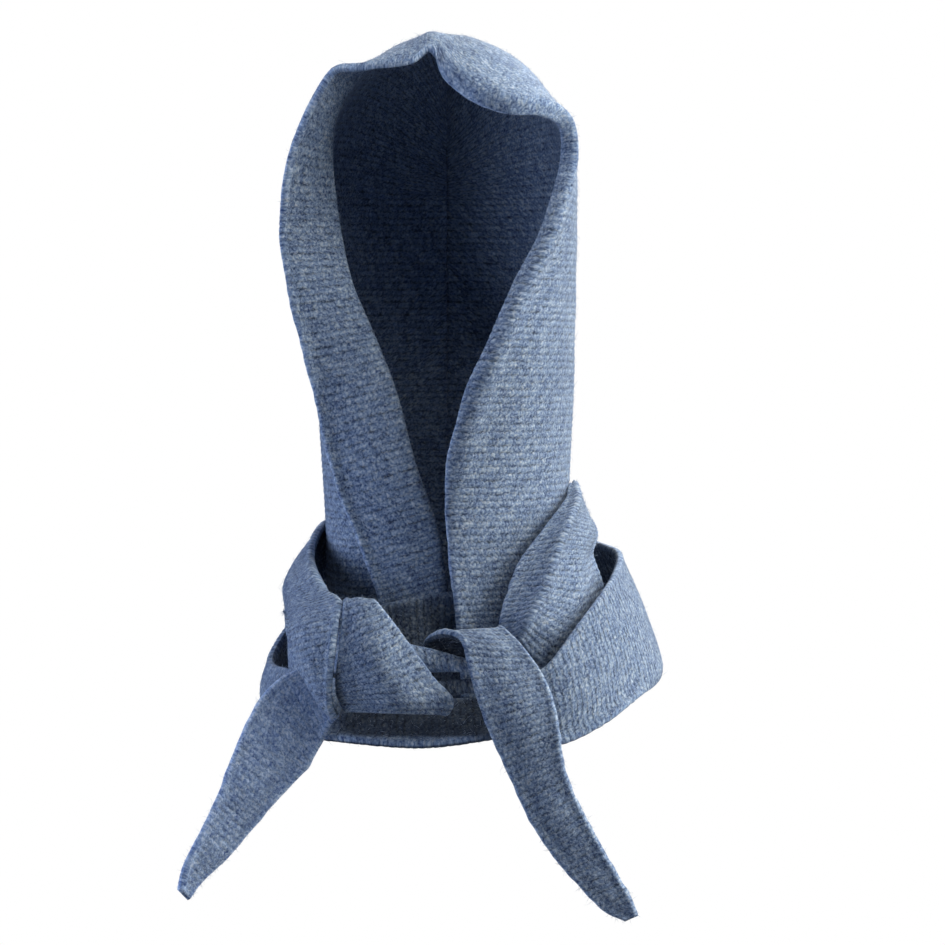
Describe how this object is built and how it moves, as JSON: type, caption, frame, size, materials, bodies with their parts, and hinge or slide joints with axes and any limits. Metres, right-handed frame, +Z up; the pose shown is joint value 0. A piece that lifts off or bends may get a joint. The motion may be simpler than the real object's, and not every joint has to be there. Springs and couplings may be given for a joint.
{
  "type": "hooded scarf",
  "caption": "Knitted strip folded over the head as a soft hood, seamed down the back, wrapped round the neck and knotted in front, with its tapering ends hanging.",
  "frame": {"origin": "inside of the crown of the hood, where it rests on the head", "axes": "+Z up, +X to the right as seen from the front, +Y to the back, so the face opening and the knot look along -Y"},
  "size_m": [0.3371, 0.2966, 0.6104],
  "materials": {
    "wool_knit": "lightly felted ribbed wool knit, melange slate blue"
  },
  "bodies": {
    "root": {"hood": "wool_knit", "neck_fold_right": "wool_knit", "neck_wrap": "wool_knit", "inner_band": "wool_knit", "loop_band": "wool_knit", "knot_cross": "wool_knit", "knot_strand_upper": "wool_knit", "knot_strand_lower": "wool_knit", "tail_right": "wool_knit", "tail_left": "wool_knit"}
  },
  "joints": []
}
